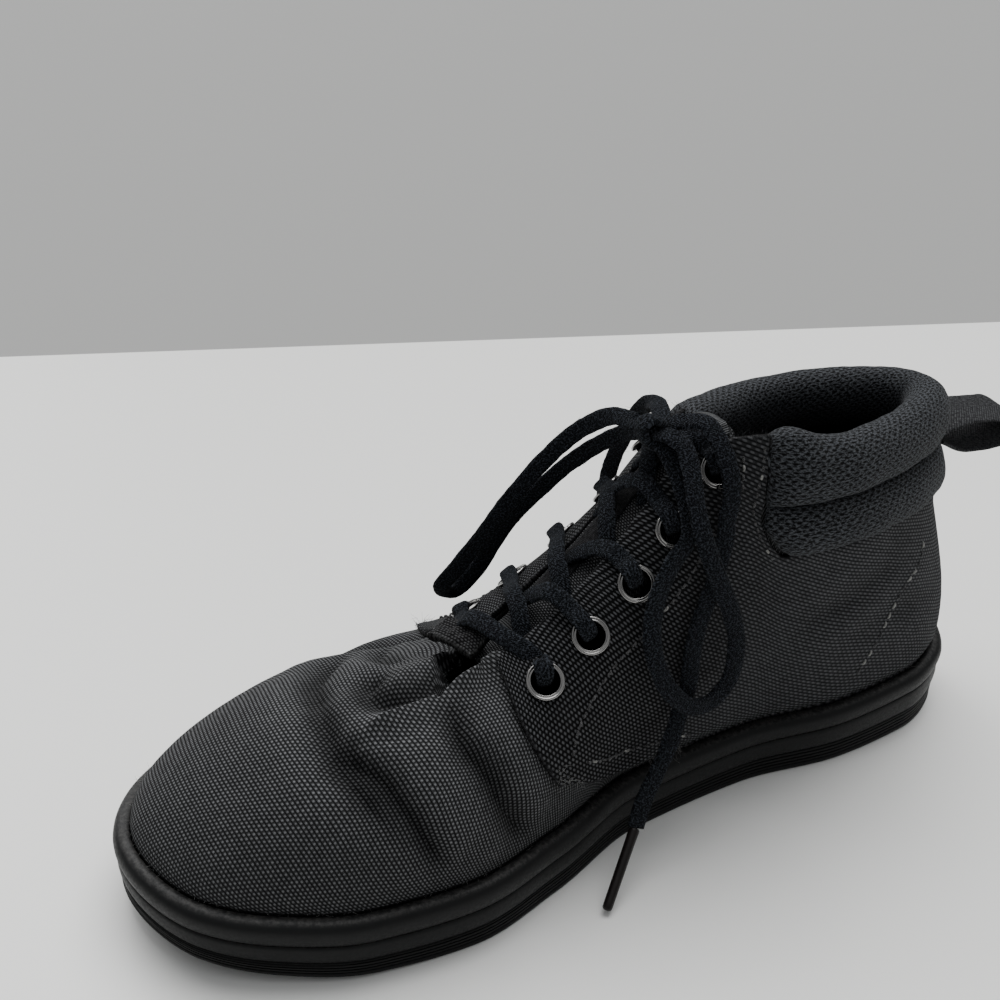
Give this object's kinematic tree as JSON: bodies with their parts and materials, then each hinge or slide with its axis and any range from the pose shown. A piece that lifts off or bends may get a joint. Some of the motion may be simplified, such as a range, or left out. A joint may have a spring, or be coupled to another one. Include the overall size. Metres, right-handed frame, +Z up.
{
  "type": "chukka boot",
  "caption": "Low ankle boot with a cupsole, a woven upper with laid-on quarters, a padded two-tier collar, eyelet lacing tied in a bow, and a heel pull loop.",
  "frame": {"origin": "on the floor under the middle of the sole's length and on its long axis", "axes": "+Z up, -Y toward the toe, +X toward the medial side"},
  "size_m": [0.1141, 0.3163, 0.1265],
  "materials": {
    "rubber": "semi-matte moulded rubber",
    "sock_lining": "matte cloth over foam",
    "ballistic_nylon": "matte ballistic weave",
    "spacer_mesh": "matte padded spacer mesh",
    "webbing": "matte ribbed webbing",
    "dark_nickel": "dark nickel plate",
    "lace_cotton": "fuzzy flat cotton braid",
    "aglet_film": "shiny film"
  },
  "bodies": {
    "root": {"cupsole": "rubber", "insole": "sock_lining", "upper": "ballistic_nylon", "quarter_medial": "ballistic_nylon", "quarter_lateral": "ballistic_nylon", "collar": "spacer_mesh", "tongue": "ballistic_nylon", "backstay": "webbing", "pull_loop": "webbing", "eyelet_medial_1": "dark_nickel", "eyelet_medial_2": "dark_nickel", "eyelet_medial_3": "dark_nickel", "eyelet_medial_4": "dark_nickel", "eyelet_medial_5": "dark_nickel", "eyelet_lateral_1": "dark_nickel", "eyelet_lateral_2": "dark_nickel", "eyelet_lateral_3": "dark_nickel", "eyelet_lateral_4": "dark_nickel", "eyelet_lateral_5": "dark_nickel", "lace_crossing_1": "lace_cotton", "lace_crossing_2": "lace_cotton", "lace_crossing_3": "lace_cotton", "lace_crossing_4": "lace_cotton", "lace_knot": "lace_cotton", "lace_loop_medial": "lace_cotton", "lace_loop_lateral": "lace_cotton", "lace_end_medial": "lace_cotton", "lace_end_lateral": "lace_cotton", "aglet_medial": "aglet_film", "aglet_lateral": "aglet_film"}
  },
  "joints": []
}
